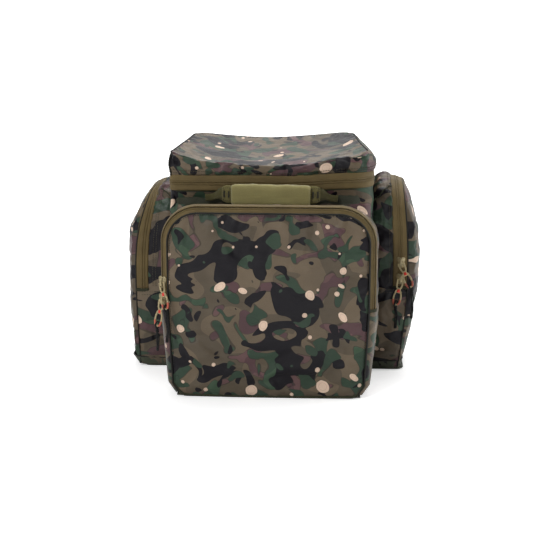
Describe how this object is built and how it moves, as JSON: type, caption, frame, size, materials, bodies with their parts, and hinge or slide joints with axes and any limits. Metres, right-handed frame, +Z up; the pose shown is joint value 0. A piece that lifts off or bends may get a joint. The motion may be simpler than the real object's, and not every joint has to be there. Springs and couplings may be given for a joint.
{
  "type": "tackle backpack",
  "caption": "Soft camouflage fishing rucksack with a zipped lift-up lid, a zipped front pocket, a zipped pocket on each side, a carry handle and padded shoulder straps.",
  "frame": {"origin": "on the ground, at the middle of the main compartment's base", "axes": "+X to the right seen from the front, +Y towards the wearer's back, +Z up"},
  "size_m": [0.454, 0.3405, 0.346],
  "materials": {
    "camo_fabric": null,
    "zip_tape": "olive woven zip tape with a nylon coil",
    "base_sheet": "dark green coated base fabric, slightly glossy",
    "stiff_board": "black polyethylene board",
    "lining": "dark olive coated nylon lining",
    "foam": "closed-cell foam behind lining cloth",
    "mesh": "black open mesh",
    "olive_webbing": "olive polyester webbing, 25 mm",
    "grip_wrap": "lighter olive padded wrap",
    "spacer_mesh": "dark olive air mesh over foam",
    "moulded_buckle": "black moulded acetal",
    "slider_metal": "dark bronze painted slider",
    "pull_metal": "pale khaki painted metal, worn at the edges"
  },
  "bodies": {
    "bag": {"back_pad": "spacer_mesh", "base_board": "stiff_board", "base_cover": "base_sheet", "base_edge_band": "base_sheet", "front_pocket_base": "base_sheet", "front_pocket_gusset": "camo_fabric", "front_pocket_lower_panel": "camo_fabric", "front_zip_body_half": "zip_tape", "handle_tabs": "olive_webbing", "left_pocket_gusset": "camo_fabric", "left_pocket_lower_shell": "camo_fabric", "left_zip_body_half": "zip_tape", "lid_zip_body_half": "zip_tape", "lower_webbing": "olive_webbing", "main_back_wall": "camo_fabric", "main_front_wall": "camo_fabric", "main_lining": "lining", "main_side_walls": "camo_fabric", "right_pocket_gusset": "camo_fabric", "right_pocket_lower_shell": "camo_fabric", "right_zip_body_half": "zip_tape", "strap_tabs": "olive_webbing", "strap_yoke": "olive_webbing", "zip_closed_ends": "zip_tape"},
    "lid": {"lid_top_panel": "camo_fabric", "lid_wall": "camo_fabric", "lid_foam": "foam", "lid_zip_half": "zip_tape", "lid_mesh_pocket": "mesh"},
    "front_flap": {"front_flap_panel": "camo_fabric", "front_zip_flap_half": "zip_tape"},
    "left_flap": {"left_flap_shell": "camo_fabric", "left_zip_flap_half": "zip_tape"},
    "right_flap": {"right_flap_shell": "camo_fabric", "right_zip_flap_half": "zip_tape"},
    "handle": {"handle_strap": "olive_webbing", "handle_grip": "grip_wrap"},
    "rear_handle": {"rear_handle": "olive_webbing"},
    "left_strap": {"left_shoulder_strap": "spacer_mesh", "left_ladder_lock": "moulded_buckle"},
    "right_strap": {"right_shoulder_strap": "spacer_mesh", "right_ladder_lock": "moulded_buckle"},
    "front_slider_upper": {"front_slider_upper": "slider_metal"},
    "front_pull_upper": {"front_pull_upper": "pull_metal"},
    "front_slider_lower": {"front_slider_lower": "slider_metal"},
    "front_pull_lower": {"front_pull_lower": "pull_metal"},
    "right_slider_upper": {"right_slider_upper": "slider_metal"},
    "right_pull_upper": {"right_pull_upper": "pull_metal"},
    "right_slider_lower": {"right_slider_lower": "slider_metal"},
    "right_pull_lower": {"right_pull_lower": "pull_metal"},
    "left_slider_upper": {"left_slider_upper": "slider_metal"},
    "left_pull_upper": {"left_pull_upper": "pull_metal"},
    "left_slider_lower": {"left_slider_lower": "slider_metal"},
    "left_pull_lower": {"left_pull_lower": "pull_metal"},
    "lid_slider_rear": {"lid_slider_rear": "slider_metal"},
    "lid_pull_rear": {"lid_pull_rear": "pull_metal"},
    "lid_slider_front": {"lid_slider_front": "slider_metal"},
    "lid_pull_front": {"lid_pull_front": "pull_metal"}
  },
  "joints": [
    {"name": "lid_fold", "type": "hinge", "parent": "bag", "child": "lid", "pos_m": [0, 0.098, 0.3], "axis": [-1, 0, 0], "range_deg": [0, 95]},
    {"name": "front_flap_fold", "type": "hinge", "parent": "bag", "child": "front_flap", "pos_m": [0, -0.194, 0.1843], "axis": [1, 0, 0], "range_deg": [0, 100]},
    {"name": "left_flap_fold", "type": "hinge", "parent": "bag", "child": "left_flap", "pos_m": [-0.23, 0.016, 0.1843], "axis": [0, -1, 0], "range_deg": [0, 90]},
    {"name": "right_flap_fold", "type": "hinge", "parent": "bag", "child": "right_flap", "pos_m": [0.23, 0.016, 0.1843], "axis": [0, 1, 0], "range_deg": [0, 90]},
    {"name": "handle_lift", "type": "hinge", "parent": "bag", "child": "handle", "pos_m": [0, -0.102, 0.287], "axis": [-1, 0, 0], "range_deg": [0, 45]},
    {"name": "rear_handle_lift", "type": "hinge", "parent": "bag", "child": "rear_handle", "pos_m": [0, 0.1025, 0.27], "axis": [1, 0, 0], "range_deg": [0, 50]},
    {"name": "left_strap_swing", "type": "hinge", "parent": "bag", "child": "left_strap", "pos_m": [-0.057, 0.105, 0.242], "axis": [1, 0, 0], "range_deg": [0, 30]},
    {"name": "right_strap_swing", "type": "hinge", "parent": "bag", "child": "right_strap", "pos_m": [0.057, 0.105, 0.242], "axis": [1, 0, 0], "range_deg": [0, 30]},
    {"name": "front_slider_upper_run", "type": "slide", "parent": "bag", "child": "front_slider_upper", "axis": [0, 0, 1], "range_m": [0, 0.048]},
    {"name": "front_pull_upper_swing", "type": "hinge", "parent": "front_slider_upper", "child": "front_pull_upper", "pos_m": [-0.15374, -0.18732, 0.1698], "axis": [-0.7932, 0.4532, -0.4067], "range_deg": [0, 100]},
    {"name": "front_slider_lower_run", "type": "slide", "parent": "bag", "child": "front_slider_lower", "axis": [0, 0, 1], "range_m": [0, 0.005]},
    {"name": "front_pull_lower_swing", "type": "hinge", "parent": "front_slider_lower", "child": "front_pull_lower", "pos_m": [-0.15374, -0.18732, 0.1438], "axis": [-0.8551, 0.4886, 0.1736], "range_deg": [0, 75]},
    {"name": "right_slider_upper_run", "type": "slide", "parent": "bag", "child": "right_slider_upper", "axis": [0, 0, 1], "range_m": [0, 0.055]},
    {"name": "right_pull_upper_swing", "type": "hinge", "parent": "right_slider_upper", "child": "right_pull_upper", "pos_m": [0.1945, -0.0515, 0.1698], "axis": [-0.9135, 0, -0.4067], "range_deg": [0, 100]},
    {"name": "right_slider_lower_run", "type": "slide", "parent": "bag", "child": "right_slider_lower", "axis": [0, 0, 1], "range_m": [0, 0.005]},
    {"name": "right_pull_lower_swing", "type": "hinge", "parent": "right_slider_lower", "child": "right_pull_lower", "pos_m": [0.1945, -0.0515, 0.1438], "axis": [-0.9848, 0, 0.1736], "range_deg": [0, 75]},
    {"name": "left_slider_upper_run", "type": "slide", "parent": "bag", "child": "left_slider_upper", "axis": [0, 0, 1], "range_m": [0, 0.055]},
    {"name": "left_pull_upper_swing", "type": "hinge", "parent": "left_slider_upper", "child": "left_pull_upper", "pos_m": [-0.1945, 0.0835, 0.1698], "axis": [0.9135, 0, -0.4067], "range_deg": [0, 100]},
    {"name": "left_slider_lower_run", "type": "slide", "parent": "bag", "child": "left_slider_lower", "axis": [0, 0, 1], "range_m": [0, 0.005]},
    {"name": "left_pull_lower_swing", "type": "hinge", "parent": "left_slider_lower", "child": "left_pull_lower", "pos_m": [-0.1945, 0.0835, 0.1438], "axis": [0.9848, 0, 0.1736], "range_deg": [0, 75]},
    {"name": "lid_slider_rear_run", "type": "slide", "parent": "bag", "child": "lid_slider_rear", "axis": [0, -1, 0], "range_m": [0, 0.005]},
    {"name": "lid_pull_rear_swing", "type": "hinge", "parent": "lid_slider_rear", "child": "lid_pull_rear", "pos_m": [-0.1535, 0.0778, 0.3], "axis": [0, -0.4067, -0.9135], "range_deg": [0, 100]},
    {"name": "lid_slider_front_run", "type": "slide", "parent": "bag", "child": "lid_slider_front", "axis": [0, -1, 0], "range_m": [0, 0.065]},
    {"name": "lid_pull_front_swing", "type": "hinge", "parent": "lid_slider_front", "child": "lid_pull_front", "pos_m": [-0.1535, 0.0518, 0.3], "axis": [0, 0.1736, -0.9848], "range_deg": [0, 75]}
  ]
}
